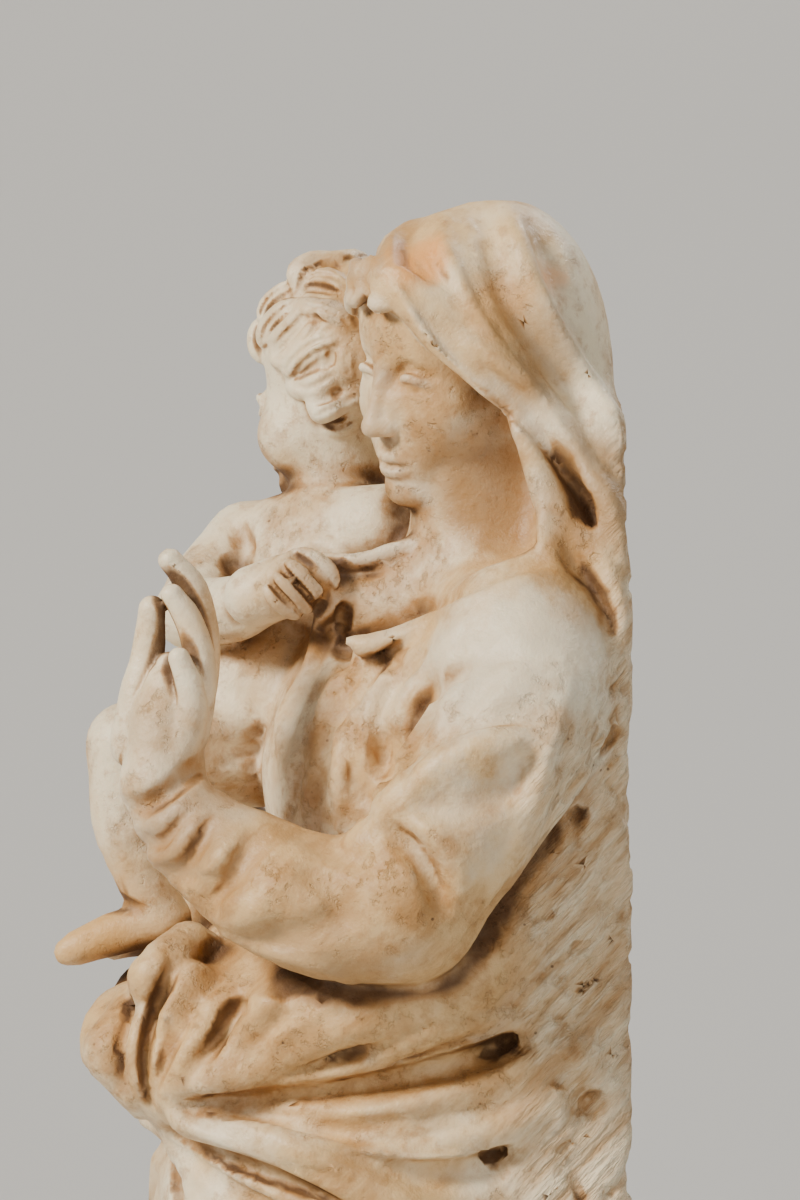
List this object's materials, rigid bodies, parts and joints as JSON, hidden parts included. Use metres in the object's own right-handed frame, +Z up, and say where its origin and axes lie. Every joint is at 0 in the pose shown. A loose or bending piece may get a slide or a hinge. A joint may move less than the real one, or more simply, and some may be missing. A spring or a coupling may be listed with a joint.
{
  "type": "mother and child statue",
  "caption": "Marble group of a veiled mother holding a child, one hand raised, with a flat rough back on a low base.",
  "frame": {"origin": "middle of the underside of the base", "axes": "+Z up, -Y towards the front of the group, +X to the mother's left"},
  "size_m": [0.242, 0.2011, 0.801],
  "materials": {
    "marble": "honed, aged marble"
  },
  "bodies": {
    "root": {"madonna_and_child": "marble"}
  },
  "joints": []
}
